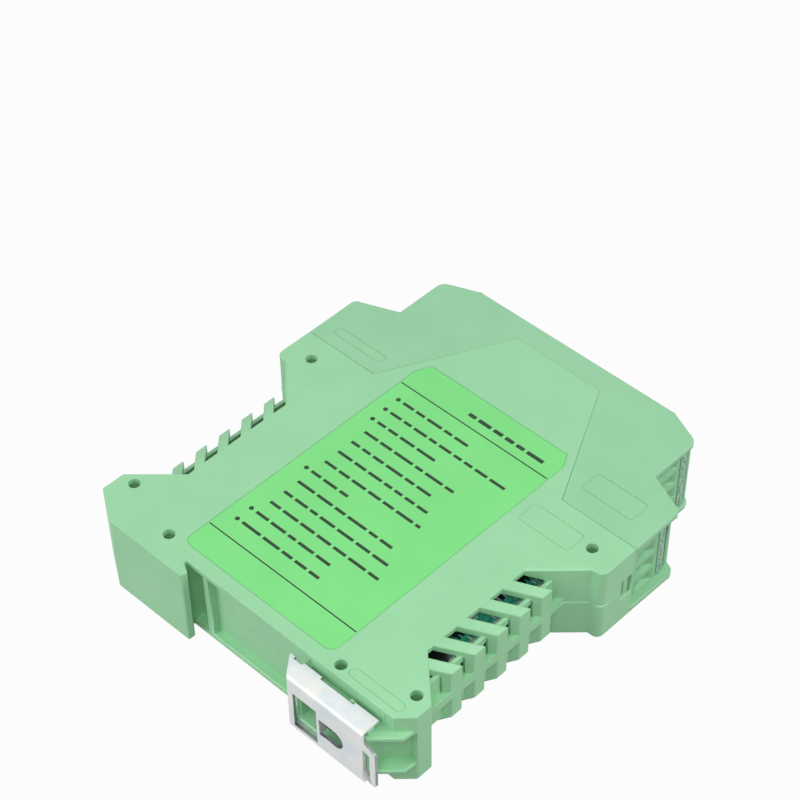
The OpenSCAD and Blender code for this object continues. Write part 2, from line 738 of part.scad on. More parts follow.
module rail_latch() {
    out = -latch_reach - 1;
    inner = -latch_reach + sheet_t;
    top = parting_z + latch_half;
    low = parting_z - latch_half;
    slot_r = (tongue_low + tongue_high) / 2;
    slot_z = parting_z + (tongue_high - tongue_low) / 2;
    color([0.8, 0.8, 0.8]) placed() {
        difference() {
            latch_channel();
            slab([[-flange_x - 0.5, -hook_y + 0.01, 0], [out, -hook_y + 0.01, 0],
                  [out, -latch_start - 0.7, 0]], low - 1, latch_w + 2);
            block_at(-flange_x - cut_d, 0, -latch_start, -latch_start + 2.5, low - 1, top + 1);
            block_at(-flange_x - cut_d, 0, -lip_runs[1][0], -lip_runs[0][1], low - 1, top + 1);
            block_at(out, inner + 0.01, -tongue_start, -window_start, low + 1.9, top - 4.7);
            block_at(out, inner + 0.01, -slot_end + slot_r, -tongue_end, slot_z - slot_r, slot_z + slot_r);
            translate([out, -slot_end + slot_r, slot_z]) rotate([0, 90, 0])
                cylinder(r = slot_r, h = sheet_t + 1.01);
        }
        block_at(inner - join, -seat_x, -tongue_end, -tongue_start,
                 parting_z - tongue_low, parting_z + tongue_high);
        for (y = lip_runs) {
            block_at(-flange_x - lip_w, -flange_x, -y[1], -y[0], top - sheet_t - lip_h, top - sheet_t / 2);
            block_at(-flange_x - lip_w, -flange_x, -y[1], -y[0], low + sheet_t / 2, low + sheet_t + lip_h);
        }
        translate([-latch_reach, -latch_end, parting_z]) rotate([0, 0, -tab_lean]) difference() {
            rotate([90, 0, 90]) linear_extrude(sheet_t) polygon(rounded([
                [join, -tab_half, 0], [join, tab_half, 0], [-tab_len, tab_half, tab_round],
                [-tab_len, -tab_half, tab_round]]));
            block_at(-1, sheet_t + 1, -tab_len + tab_rim, -slide_gap, -tab_window, tab_window);
        }
    }
}

// Round wire wound along Y between the latch tongue and the stop
module latch_spring() {
    gap = 0.05;
    sides = 8;
    wire_r = wire_d / 2;
    steps = spring_turns * 14;
    len_y = stop_y - tongue_end - wire_d - 2 * gap;
    rings = [for (i = [0 : steps])
        let (a = i * 360 / 14, y = -tongue_end - gap - wire_r - len_y * i / steps)
        [for (j = [0 : sides - 1])
            let (r = spring_r + wire_r * cos(j * 360 / sides))
            [spring_x + r * cos(a), y + wire_r * sin(j * 360 / sides), parting_z + r * sin(a)]]];
    points = [for (ring = rings) each ring];
    skin = [for (i = [0 : steps - 1], j = [0 : sides - 1])
        [i * sides + j, i * sides + (j + 1) % sides, (i + 1) * sides + (j + 1) % sides,
         (i + 1) * sides + j]];
    ends = [[for (j = [sides - 1 : -1 : 0]) j], [for (j = [0 : sides - 1]) steps * sides + j]];
    color([0.78, 0.62, 0.3]) placed() polyhedron(points, concat(skin, ends));
}

// Parts on the board, each drawn from the board surface upwards
module on_board(x, y) {
    placed() translate([x, y, board_top]) children();
}

module transformer_core() {
    low = (coil_h - core_h) / 2;
    color([0.2, 0.2, 0.2]) on_board(waist_front_x, 0) difference() {
        block_at(-core_x / 2, core_x / 2, -core_y / 2, core_y / 2, low, low + core_h);
        for (s = [-1, 1]) translate([s * (core_limb + core_window) / 2, 0, 0])
            block_at(-core_window / 2, core_window / 2, -core_y / 2 + core_yoke, core_y / 2 - core_yoke,
                     low - 1, low + core_h + 1);
    }
}

module transformer_winding() {
    wide = core_limb / 2 + core_window - fit;
    reach = core_y / 2 - core_yoke - fit;
    low = (coil_h - core_h) / 2 - fit;
    color([0.75, 0.62, 0.25]) on_board(waist_front_x, 0) difference() {
        block_at(-wide, wide, -reach, reach, 0, coil_h);
        block_at(-core_limb / 2 - fit, core_limb / 2 + fit, -core_y, core_y, low, low + core_h + 2 * fit);
    }
}

module electrolytic_capacitors() {
    color([0.12, 0.12, 0.14])
        for (p = [[waist_rear_x + 6.6, -35], [waist_rear_x + 6.6, 33], [waist_rear_x - 4, 8]])
            on_board(p[0], p[1]) difference() {
                cylinder(r = can_r, h = can_h);
                translate([0, 0, can_h - label_d]) cylinder(r = can_r - can_rim, h = 1);
            }
}

module chip_packages() {
    row_y = (chip_y + leg_l) / 2 - fit;
    color([0.1, 0.1, 0.11])
        for (p = [[waist_front_x + 5.5, -32.4], [waist_front_x + 3.5, 33], [waist_rear_x + 16, -32.5],
                  [waist_rear_x + 16, 32], [seam_x, 8], [seam_x, -8]])
            on_board(p[0], p[1]) {
                block_at(-chip_x / 2, chip_x / 2, -chip_y / 2, chip_y / 2, chip_gap, chip_gap + chip_h);
                for (s = [-1, 1], k = [-1.5 : 1 : 1.5])
                    block_at(k * leg_pitch - leg_w / 2, k * leg_pitch + leg_w / 2,
                             s * row_y - leg_l / 2, s * row_y + leg_l / 2, 0, leg_t);
            }
}

module power_inductor() {
    color([0.3, 0.3, 0.3]) on_board(waist_rear_x + 14, 0) {
        cylinder(r = choke_r, h = choke_flange);
        cylinder(r = 0.7 * choke_r, h = choke_h - choke_flange / 2);
        translate([0, 0, choke_h - choke_flange]) cylinder(r = choke_r, h = choke_flange);
    }
}

lower_half_shell();
upper_half_shell();
front_hood();
terminal_block_lower_left();
terminal_block_lower_right();
terminal_block_upper_left();
terminal_block_upper_right();
marker_strip_lower_left();
marker_strip_lower_right();
marker_strip_upper_left();
marker_strip_upper_right();
clamp_cages();
clamp_screws();
terminal_leads();
main_board();
side_label();
rail_latch();
latch_spring();
transformer_core();
transformer_winding();
electrolytic_capacitors();
chip_packages();
power_inductor();
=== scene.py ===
import math
import random

import bmesh
import bpy
from mathutils import Matrix, Vector


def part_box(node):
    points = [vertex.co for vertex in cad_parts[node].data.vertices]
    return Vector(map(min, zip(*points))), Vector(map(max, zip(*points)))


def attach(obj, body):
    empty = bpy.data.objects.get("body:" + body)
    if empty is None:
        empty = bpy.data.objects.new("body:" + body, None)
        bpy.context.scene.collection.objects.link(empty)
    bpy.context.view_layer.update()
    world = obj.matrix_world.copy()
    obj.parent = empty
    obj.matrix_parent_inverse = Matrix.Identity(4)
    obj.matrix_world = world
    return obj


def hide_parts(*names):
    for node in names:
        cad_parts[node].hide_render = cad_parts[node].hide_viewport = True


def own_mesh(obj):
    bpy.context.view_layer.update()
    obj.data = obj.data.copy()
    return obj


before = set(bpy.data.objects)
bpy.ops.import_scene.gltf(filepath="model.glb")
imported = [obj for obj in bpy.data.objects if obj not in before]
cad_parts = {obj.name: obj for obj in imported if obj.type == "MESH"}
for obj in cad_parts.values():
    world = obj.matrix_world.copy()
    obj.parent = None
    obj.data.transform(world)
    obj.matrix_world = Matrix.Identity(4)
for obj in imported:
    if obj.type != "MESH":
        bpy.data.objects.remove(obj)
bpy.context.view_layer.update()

mm = 0.001
print("frame loaded:", len(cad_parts), "nodes")


# colours are written as sRGB hex and turned to linear here
def hexColor(text):
    parts = [int(text[i:i + 2], 16) / 255 for i in (1, 3, 5)]
    return [c / 12.92 if c <= 0.04045 else ((c + 0.055) / 1.055) ** 2.4 for c in parts] + [1.0]


# adds a node, sets its sockets or properties, and links its inputs
def addNode(tree, kind, settings=None, links=None):
    node = tree.nodes.new(kind)
    for key, value in (settings or {}).items():
        if isinstance(key, int) or key in node.inputs:
            node.inputs[key].default_value = value
        else:
            setattr(node, key, value)
    for key, source in (links or {}).items():
        tree.links.new(source, node.inputs[key])
    return node


def newMaterial(name, settings):
    material = bpy.data.materials.new(name)
    material.use_nodes = True
    tree = material.node_tree
    tree.nodes.clear()
    shader = addNode(tree, "ShaderNodeBsdfPrincipled", settings)
    addNode(tree, "ShaderNodeOutputMaterial", links={"Surface": shader.outputs[0]})
    place = addNode(tree, "ShaderNodeTexCoord").outputs["Object"]
    return material, tree, shader, place


# two close colours mixed by a noise whose patches are patchMm across
def mottle(tree, shader, place, darkHex, lightHex, patchMm):
    noise = addNode(tree, "ShaderNodeTexNoise", {"Scale": 1 / (patchMm * mm), "Detail": 3.0}, {"Vector": place})
    ramp = addNode(tree, "ShaderNodeValToRGB", links={"Fac": noise.outputs["Fac"]})
    for element, position, tone in zip(ramp.color_ramp.elements, (0.35, 0.65), (darkHex, lightHex)):
        element.position = position
        element.color = hexColor(tone)
    tree.links.new(ramp.outputs["Color"], shader.inputs["Base Color"])


# fine relief from a noise with grains grainMm across and depthMm deep
def grain(tree, shader, place, grainMm, depthMm, strength):
    noise = addNode(tree, "ShaderNodeTexNoise", {"Scale": 1 / (grainMm * mm), "Detail": 2.0}, {"Vector": place})
    bump = addNode(tree, "ShaderNodeBump", {"Strength": strength, "Distance": depthMm * mm},
                   {"Height": noise.outputs["Fac"]})
    tree.links.new(bump.outputs["Normal"], shader.inputs["Normal"])


# roughness that drifts between two values over patchMm
def uneven(tree, shader, place, low, high, patchMm):
    noise = addNode(tree, "ShaderNodeTexNoise", {"Scale": 1 / (patchMm * mm), "Detail": 2.0}, {"Vector": place})
    spread = addNode(tree, "ShaderNodeMapRange", {"To Min": low, "To Max": high}, {"Value": noise.outputs["Fac"]})
    tree.links.new(spread.outputs["Result"], shader.inputs["Roughness"])


# glass-filled polyamide, injection moulded in a spark-eroded tool: satin, faintly pebbled, slight flow tone;
# the pebble is drawn coarser than life so that it shows
def mouldedPolyamide(name, darkHex, lightHex):
    material, tree, shader, place = newMaterial(name, {"IOR": 1.53})
    mottle(tree, shader, place, darkHex, lightHex, patchMm=14)
    uneven(tree, shader, place, low=0.42, high=0.56, patchMm=6)
    grain(tree, shader, place, grainMm=0.45, depthMm=0.02, strength=0.35)
    return material


# printed polyester film: smoother than the case, slight orange peel
def polyesterFilm(name, darkHex, lightHex):
    material, tree, shader, place = newMaterial(name, {"IOR": 1.57})
    mottle(tree, shader, place, darkHex, lightHex, patchMm=20)
    uneven(tree, shader, place, low=0.33, high=0.42, patchMm=9)
    grain(tree, shader, place, grainMm=0.8, depthMm=0.008, strength=0.25)
    return material


# screen-printed ink on the film: matt, hardly raised
def screenInk(name, darkHex, lightHex):
    material, tree, shader, place = newMaterial(name, {"IOR": 1.5})
    mottle(tree, shader, place, darkHex, lightHex, patchMm=1.2)
    uneven(tree, shader, place, low=0.5, high=0.65, patchMm=2)
    return material


# zinc, nickel or tin plating: a pale cloudy sheen with fine rolling lines along the sheet
def platedMetal(name, darkHex, lightHex, stretch, metallic=0.9):
    material, tree, shader, place = newMaterial(name, {"Metallic": metallic})
    mottle(tree, shader, place, darkHex, lightHex, patchMm=5)
    uneven(tree, shader, place, low=0.3, high=0.46, patchMm=3)
    turned = addNode(tree, "ShaderNodeMapping", {"Scale": stretch}, {"Vector": place})
    grain(tree, shader, turned.outputs["Vector"], grainMm=0.3, depthMm=0.006, strength=0.35)
    return material


# drawn spring steel, blued dark: small paler streaks on a near-black wire; the near-black is partly painted shade for
# the dark slot behind the latch, and the paler streaks are painted glints
def springWire(name, darkHex, lightHex):
    material, tree, shader, place = newMaterial(name, {"Metallic": 1.0})
    mottle(tree, shader, place, darkHex, lightHex, patchMm=2)
    uneven(tree, shader, place, low=0.22, high=0.36, patchMm=1)
    return material


# glass laminate under green solder mask, with copper tracks that lift the mask to a paler green; both greens are
# painted lighter than the mask's own colour, painted light that stands in for light reaching the board through the
# vents; the tracks are 0.8 mm wide and about 2 mm apart, drawn coarser than life so that they show
def solderMaskPaintedLight(name, maskPaintedLightHex, trackPaintedLightHex):
    material, tree, shader, place = newMaterial(name, {"IOR": 1.55, "Roughness": 0.32})
    cellMm = 9
    rows = addNode(tree, "ShaderNodeTexBrick", {
        "Scale": 1 / (cellMm * mm), "Mortar Size": 0.09, "Mortar Smooth": 0.1, "Brick Width": 0.9, "Row Height": 0.22,
        "Color1": hexColor(maskPaintedLightHex), "Color2": hexColor(maskPaintedLightHex), "Mortar": hexColor(trackPaintedLightHex)}, {"Vector": place})
    tree.links.new(rows.outputs["Color"], shader.inputs["Base Color"])
    bump = addNode(tree, "ShaderNodeBump", {"Strength": 0.4, "Distance": 0.03 * mm}, {"Height": rows.outputs["Fac"]})
    tree.links.new(bump.outputs["Normal"], shader.inputs["Normal"])
    return material


# dull sintered or moulded black and brown parts on the board: slightly grainy, with little shine
def boardPart(name, darkHex, lightHex, low, high):
    material, tree, shader, place = newMaterial(name, {"IOR": 1.5})
    mottle(tree, shader, place, darkHex, lightHex, patchMm=1.5)
    uneven(tree, shader, place, low, high, patchMm=1)
    grain(tree, shader, place, grainMm=0.25, depthMm=0.01, strength=0.4)
    return material


finishes = {
    "case": mouldedPolyamide("MouldedPolyamideCase", "#92cd9e", "#96d1a2"),
    # the parting bead's paler green is a painted highlight along the parting line
    "flashWithPaintedHighlight": mouldedPolyamide("MouldedPolyamideFlashPaintedHighlight", "#acdcb6", "#b8e3c1"),
    "hood": mouldedPolyamide("MouldedPolyamideHood", "#8dc69b", "#92cba0"),
    "block": mouldedPolyamide("MouldedPolyamideTerminal", "#84c192", "#8dc99a"),
    "label": polyesterFilm("PolyesterLabelFilm", "#74d67a", "#79da7f"),
    "ink": screenInk("ScreenInkBlack", "#14301a", "#1c3a22"),
    "marker": polyesterFilm("PolyesterMarkerFilm", "#80b392", "#8abc9c"),
    "markerInk": screenInk("ScreenInkGrey", "#56686c", "#6b7d80"),
    "silk": screenInk("SilkscreenWhite", "#e4ebe6", "#f2f6f3"),
    "bareEdge": screenInk("BareLaminate", "#dfe6dd", "#eef2ea"),
    "sheared": platedMetal("ShearedSteelEdge", "#7b7e7d", "#b9bdbb", stretch=(1.0, 1.0, 0.2), metallic=0.5),
    "zinc": platedMetal("ZincPlatedSheet", "#d7e1e6", "#e7e9e5", stretch=(1.0, 0.12, 1.0), metallic=0.2),
    "screw": platedMetal("ZincPlatedScrew", "#c4c6c8", "#dcdddf", stretch=(0.2, 1.0, 1.0)),
    "cage": platedMetal("NickelPlatedBrass", "#b9b29c", "#cfc9b4", stretch=(1.0, 0.3, 1.0)),
    "solder": platedMetal("MattTinSolder", "#e6e9e7", "#f6f8f7", stretch=(1.0, 1.0, 1.0), metallic=0.1),
    "lead": platedMetal("TinnedBrass", "#cfcbbd", "#dedacc", stretch=(1.0, 0.3, 1.0)),
    # the spring's near-black is partly painted shade for the latch slot, its paler streaks painted glints
    "spring": springWire("BluedSpringWirePaintedShade", "#2f2b29", "#4b443d"),
    # the board's mask and track greens are painted light: paler than the real mask so that the vents look lit
    "board": solderMaskPaintedLight("SolderMaskLaminatePaintedLight", "#22a47c", "#47c8a1"),
    "ferrite": boardPart("SinteredFerrite", "#242424", "#323231", low=0.55, high=0.7),
    "winding": boardPart("PolyesterTapeWinding", "#b88a24", "#d0a13a", low=0.35, high=0.5),
    "sleeve": boardPart("ShrunkPvcSleeve", "#17181c", "#23252b", low=0.25, high=0.35),
    "epoxy": boardPart("MouldedEpoxy", "#141415", "#1e1e20", low=0.45, high=0.6),
}
print("materials made:", len(finishes))


def wear(obj, finish):
    obj.data.materials.clear()
    obj.data.materials.append(finishes[finish])


nodeFinish = {
    "main_board": "board", "clamp_cages": "cage", "clamp_screws": "screw", "terminal_leads": "lead",
    "side_label": "label", "transformer_core": "ferrite", "transformer_winding": "winding",
    "electrolytic_capacitors": "sleeve", "chip_packages": "epoxy", "power_inductor": "ferrite",
    "marker_strip_lower_left": "marker", "marker_strip_lower_right": "marker",
    "marker_strip_upper_left": "marker", "marker_strip_upper_right": "marker", "latch_spring": "spring",
}
for nodeName, finish in nodeFinish.items():
    wear(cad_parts[nodeName], finish)

# moulded and pressed pieces get rounded edges: a merged copy of the node with a bevel on its larger edges
blockRound = {"finish": "block", "radius": 0.1, "asCut": True, "clamp": True}
edgeRounds = {
    "lower_half_shell": {"finish": "case", "radius": 0.3, "piece": "lowerHalf"},
    "upper_half_shell": {"finish": "case", "radius": 0.9, "usual": 0.22, "piece": "upperHalf"},
    "front_hood": {"finish": "hood", "radius": 0.35, "piece": "frontHood"},
    "terminal_block_lower_left": {**blockRound, "piece": "blockLowerLeft"},
    "terminal_block_lower_right": {**blockRound, "piece": "blockLowerRight"},
    "terminal_block_upper_left": {**blockRound, "piece": "blockUpperLeft"},
    "terminal_block_upper_right": {**blockRound, "piece": "blockUpperRight"},
    "rail_latch": {"finish": "zinc", "radius": 0.12, "piece": "railLatch", "cutFinish": "sheared", "cutMm": 0.95},
}
# on the parting plane only the lower half's flanks are eased, and the hood seam hardly, so both read as thin lines
roundRules = {
    "sharpDegrees": 28, "thinnestFaceMm": 0.5, "segments": 2, "mergeMm": 0.002, "flatDegrees": 0.6,
    "partingMm": 11.25, "onPlaneMm": 0.02, "flankY": 45.0, "nearSeamMm": 0.3, "nearFlankMm": 0.1, "flankTopMm": 22.4,
    "cutSharpShare": 0.2,
    "seam": (((19.76, 53.0), (19.76, 30.6), 0.3), ((19.76, -30.6), (19.76, -53.0), 0.3),
             ((19.76, 30.6), (53.36, 13.5), 0.0), ((53.36, 13.5), (53.36, -13.5), 0.0),
             ((53.36, -13.5), (19.76, -30.6), 0.0)),
    "flanks": (((-2.49, 38.7), (8.16, 49.8)), ((-2.49, -38.7), (8.16, -49.8))),
}


# a face is slim when its area is small for its longest side
def faceWidth(face):
    return face.calc_area() / max(edge.calc_length() for edge in face.edges)


# the sheet's cut faces are slim and have sharp sides, which its bends lack
def isCut(face, width, settings):
    sides = [edge.calc_length() for edge in face.edges]
    sharpSides = [edge.calc_length() for edge in face.edges if not edge.smooth]
    return width < settings.get("cutMm", 0) * mm and sum(sharpSides) > roundRules["cutSharpShare"] * sum(sides)


# distance of a point in plan from the line between start and stop
def fromLine(point, start, stop):
    start, stop = Vector(start), Vector(stop)
    along = min(1.0, max(0.0, (point - start).dot(stop - start) / (stop - start).length_squared))
    return (point - start.lerp(stop, along)).length


# share of the piece's radius that an edge gets
def roundShare(edge, nodeName):
    ends = [vert.co / mm for vert in edge.verts]
    middle = ((ends[0] + ends[1]) / 2).to_2d()
    usual = edgeRounds[nodeName].get("usual", 1.0)
    if all(abs(end.z - roundRules["partingMm"]) < roundRules["onPlaneMm"] for end in ends):
        onFlank = abs(middle.y) > roundRules["flankY"] and middle.x > 0
        return 1.0 if onFlank and nodeName == "lower_half_shell" else 0.0
    for start, stop, share in roundRules["seam"]:
        if fromLine(middle, start, stop) < roundRules["nearSeamMm"]:
            return share * usual
    onTop = all(end.z > roundRules["flankTopMm"] for end in ends)
    for start, stop in roundRules["flanks"]:
        if onTop and all(fromLine(end.to_2d(), start, stop) < roundRules["nearFlankMm"] for end in ends):
            return 1.0
    return usual


def roundedCopy(nodeName, settings):
    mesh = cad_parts[nodeName].data.copy()
    mesh.name = settings["piece"]
    bm = bmesh.new()
    bm.from_mesh(mesh)
    bmesh.ops.remove_doubles(bm, verts=bm.verts, dist=roundRules["mergeMm"] * mm)
    if not settings.get("asCut"):
        flat = math.radians(roundRules["flatDegrees"])
        bmesh.ops.dissolve_limit(bm, angle_limit=flat, verts=bm.verts, edges=bm.edges)
    weights = bm.edges.layers.float.new("bevel_weight_edge")
    sharp = math.radians(roundRules["sharpDegrees"])
    widths = {face.index: faceWidth(face) for face in bm.faces}
    for edge in bm.edges:
        turned = edge.calc_face_angle(0.0)
        edge.smooth = turned < sharp
        broad = min(widths[face.index] for face in edge.link_faces) > roundRules["thinnestFaceMm"] * mm
        if not edge.smooth and edge.is_convex and broad:
            edge[weights] = roundShare(edge, nodeName)
    cuts = [isCut(face, widths[face.index], settings) for face in bm.faces]
    for face in bm.faces:
        face.smooth = True
    bm.to_mesh(mesh)
    bm.free()
    piece = bpy.data.objects.new(settings["piece"], mesh)
    bpy.context.scene.collection.objects.link(piece)
    bevel = piece.modifiers.new("edgeRound", "BEVEL")
    bevel.limit_method = "WEIGHT"
    bevel.width = settings["radius"] * mm
    bevel.segments = roundRules["segments"]
    bevel.use_clamp_overlap = settings.get("clamp", False)
    evenShade = piece.modifiers.new("evenShade", "WEIGHTED_NORMAL")
    evenShade.weight = 100
    evenShade.keep_sharp = True
    wear(piece, settings["finish"])
    if "cutFinish" in settings:
        mesh.materials.append(finishes[settings["cutFinish"]])
        for polygon, cut in zip(mesh.polygons, cuts):
            polygon.material_index = int(cut)
    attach(piece, "latch" if nodeName == "rail_latch" else "case")
    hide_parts(nodeName)


for nodeName, settings in edgeRounds.items():
    roundedCopy(nodeName, settings)
print("edges rounded on", len(edgeRounds), "pieces")


# a box by its middle in x and y and its lower z, tall along x and wide along y, in mm
def addSlab(bm, x, y, tall, wide, z, thick):
    place = Matrix.Translation(Vector((x, y, z + thick / 2)) * mm) @ Matrix.Diagonal(
        (tall * mm, wide * mm, thick * mm, 1.0))
    bmesh.ops.create_cube(bm, size=1.0, matrix=place)


# makes a scene object of a bmesh, with its finish, body and material slot
def addPiece(bm, name, finish):
    mesh = bpy.data.meshes.new(name)
    bm.to_mesh(mesh)
    bm.free()
    piece = bpy.data.objects.new(name, mesh)
    bpy.context.scene.collection.objects.link(piece)
    wear(piece, finish)
    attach(piece, "case")
    return piece


# a fine bead on the lower half where the mould parts, in a paler green that is a painted highlight so that the
# parting line reads light, and linings that close the slits behind its fins and in the rail groove beside the foot
mouldMarks = {
    "beadOut": 0.14, "beadTall": 0.3, "beadTo": 12.0, "facesOut": 0.15, "leansMost": 0.1, "liningThick": 0.45,
    "liningY": 43.52, "liningZ": (3.75, 9.9), "liningX": (-38.78, 2.12),
    "grooveX": -49.5, "grooveY": (13.7, 19.1), "grooveZ": (1.4, 21.1),
}


def addMouldMarks(cfg):
    parting = roundRules["partingMm"] * mm
    bead = bmesh.new()
    bead.from_mesh(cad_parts["lower_half_shell"].data)
    bmesh.ops.remove_doubles(bead, verts=bead.verts, dist=roundRules["mergeMm"] * mm)

    # outer flank faces that reach up to the parting plane
    def besideParting(face):
        middle = face.calc_center_median()
        reach = max(vert.co.z for vert in face.verts)
        outward = face.normal.y * math.copysign(1, middle.y)
        outer = outward > cfg["facesOut"] and abs(face.normal.z) < cfg["leansMost"]
        onFlank = abs(middle.y) > roundRules["flankY"] * mm and 0 < middle.x < cfg["beadTo"] * mm
        return outer and onFlank and abs(reach - parting) < roundRules["onPlaneMm"] * mm

    bmesh.ops.delete(bead, geom=[face for face in bead.faces if not besideParting(face)], context="FACES")
    bmesh.ops.bisect_plane(bead, geom=bead.verts[:] + bead.edges[:] + bead.faces[:],
                           plane_co=(0, 0, parting - cfg["beadTall"] * mm), plane_no=(0, 0, 1), clear_inner=True)
    bmesh.ops.solidify(bead, geom=bead.faces[:], thickness=-cfg["beadOut"] * mm)
    bmesh.ops.recalc_face_normals(bead, faces=bead.faces)
    addPiece(bead, "partingBead", "flashWithPaintedHighlight")
    lining = bmesh.new()
    low, high = cfg["liningX"]
    base, top = cfg["liningZ"]
    for side in (-1, 1):
        addSlab(lining, (low + high) / 2, side * cfg["liningY"], high - low, cfg["liningThick"], base, top - base)
    addPiece(lining, "finLining", "case")
    back = bmesh.new()
    low, high = cfg["grooveY"]
    base, top = cfg["grooveZ"]
    addSlab(back, cfg["grooveX"], (low + high) / 2, cfg["liningThick"], high - low, base, top - base)
    addPiece(back, "grooveLining", "case")


addMouldMarks(mouldMarks)
print("mould marks added")

# print on the label: two rules, round bullets and plain dashes in rows; the title is x, start, length and height
labelPrint = {
    "rowPitch": 4.46, "firstRow": 17.5, "rowStart": 18.3, "bulletY": 20.0, "bulletR": 0.62,
    "dashTall": 0.85, "inkThick": 0.02, "rules": (22.4, -41.3), "ruleTall": 0.34, "ruleHalf": 23.7,
    "rowLengths": (22, 37, 19, 29, 26, 29, 31, 12, 32, 33.6, 35, 24, 25), "bulletRows": (0, 1, 2, 7, 11, 12),
    "title": (25.7, 4.2, 24.4, 1.1), "wordLengths": (2.2, 6.0), "wordGap": 0.9, "shortestWord": 0.8,
    "bulletSides": 20, "seed": 7,
}


def printLabel(cfg):
    dice = random.Random(cfg["seed"])
    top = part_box("side_label")[1].z / mm
    bm = bmesh.new()
    for x in cfg["rules"]:
        addSlab(bm, x, 0, cfg["ruleTall"], 2 * cfg["ruleHalf"], top, cfg["inkThick"])

    def dashRow(x, start, length, tall):
        y = start
        while y > start - length:
            word = min(dice.uniform(*cfg["wordLengths"]), y - (start - length))
            if word > cfg["shortestWord"]:
                addSlab(bm, x, y - word / 2, tall, word, top, cfg["inkThick"])
            y -= word + cfg["wordGap"]

    for row, length in enumerate(cfg["rowLengths"]):
        x = cfg["firstRow"] - row * cfg["rowPitch"]
        dashRow(x, cfg["rowStart"], length, cfg["dashTall"])
        if row in cfg["bulletRows"]:
            place = Matrix.Translation(Vector((x, cfg["bulletY"], top + cfg["inkThick"] / 2)) * mm)
            bmesh.ops.create_cone(bm, cap_ends=True, segments=cfg["bulletSides"], radius1=cfg["bulletR"] * mm,
                                  radius2=cfg["bulletR"] * mm, depth=cfg["inkThick"] * mm, matrix=place)
    x, start, length, tall = cfg["title"]
    dashRow(x, start, length, tall)
    addPiece(bm, "labelPrint", "ink")


printLabel(labelPrint)
print("label printed")

# small plain ticks on the marker strips, a few beside each pole
markerPrint = {
    "strips": ("lower_left", "lower_right", "upper_left", "upper_right"), "poles": 4, "polePitch": 5.08,
    "middle": 11.25, "perPole": 6, "firstTick": -2.1, "tickStep": 0.74, "tickTall": (0.3, 0.6), "tickWide": 0.5,
    "tickShifts": (-0.55, -0.1, 0.35), "inkThick": 0.02, "seed": 21,
}


def printMarkers(cfg):
    dice = random.Random(cfg["seed"])
    bm = bmesh.new()
    for strip in cfg["strips"]:
        low, high = [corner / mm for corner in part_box("marker_strip_" + strip)]
        face = high.y if high.y > 0 else low.y - cfg["inkThick"]
        for pole in range(cfg["poles"]):
            z = cfg["middle"] + (pole - (cfg["poles"] - 1) / 2) * cfg["polePitch"]
            for tick in range(cfg["perPole"]):
                tall = dice.uniform(*cfg["tickTall"])
                rise = z + cfg["firstTick"] + tick * cfg["tickStep"]
                x = (low.x + high.x) / 2 + dice.choice(cfg["tickShifts"])
                if low.z < rise and rise + tall < high.z:
                    addSlab(bm, x, face + cfg["inkThick"] / 2, cfg["tickWide"], cfg["inkThick"], rise, tall)
    addPiece(bm, "markerPrint", "markerInk")


printMarkers(markerPrint)
print("markers printed")

# small parts and marks on the board where the vents show it; places are mm in the shared frame
boardDetail = {
    "edgeY": 38.4, "edgeInset": 0.05, "bareWide": 0.65, "bareFrom": -44.0, "bareTo": 36.0, "film": 0.02,
    "silk": ((4.1, -36.3, 0.5, 1.1), (4.9, -36.7, 0.35, 1.3), (-2.6, -36.6, 0.5, 0.5), (-10.2, -36.7, 0.4, 1.2),
             (-18.4, -36.9, 0.4, 1.4), (4.1, 36.3, 0.5, 1.1), (-10.2, 36.7, 0.4, 1.2)),
    "smds": ((-4.9, -34.2, 0), (-4.4, -31.6, 90), (-7.2, -32.4, 0), (-12.8, -31.2, 0), (-13.4, -33.0, 90),
             (-22.6, -34.0, 90), (-22.6, -31.4, 90), (7.6, -31.2, 0), (7.6, -33.2, 0), (-4.9, 34.2, 0),
             (-12.8, 32.2, 90), (7.6, 32.2, 0)),
    "body": (1.3, 1.25, 0.55), "cap": (0.42, 1.3, 0.6),
}


def dressBoard(cfg):
    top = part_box("main_board")[1].z / mm
    border = bmesh.new()
    middle = (cfg["bareFrom"] + cfg["bareTo"]) / 2
    away = cfg["edgeY"] - cfg["bareWide"] / 2 - cfg["edgeInset"]
    for side in (-1, 1):
        addSlab(border, middle, side * away, cfg["bareTo"] - cfg["bareFrom"], cfg["bareWide"], top, cfg["film"])
    addPiece(border, "boardBorder", "bareEdge")
    silk = bmesh.new()
    for x, y, tall, wide in cfg["silk"]:
        addSlab(silk, x, y, tall, wide, top, cfg["film"])
    addPiece(silk, "boardSilk", "silk")

    # a small box with its length along x, or along y when it is turned
    def layPart(bm, x, y, size, turn):
        long, wide, tall = size
        addSlab(bm, x, y, wide if turn else long, long if turn else wide, top, tall)

    bodies = bmesh.new()
    caps = bmesh.new()
    for x, y, turn in cfg["smds"]:
        along = Vector((0, 1)) if turn else Vector((1, 0))
        layPart(bodies, x, y, cfg["body"], turn)
        for side in (-1, 1):
            spot = Vector((x, y)) + along * side * (cfg["body"][0] + cfg["cap"][0]) / 2
            layPart(caps, spot.x, spot.y, cfg["cap"], turn)
    addPiece(bodies, "smdBodies", "epoxy")
    addPiece(caps, "smdCaps", "solder")


dressBoard(boardDetail)
print("board dressed")

# wound wire with closed end coils in place of the plain helix
coil = {"x": -55.737, "z": 11.25, "startY": -30.05, "endY": -40.15, "wireR": 0.3, "coilR": 2.3, "turns": 8,
        "closed": 0.9, "closedPitch": 1.05, "steps": 36, "sides": 10, "anchorY": -40.5, "keep": 0.58}


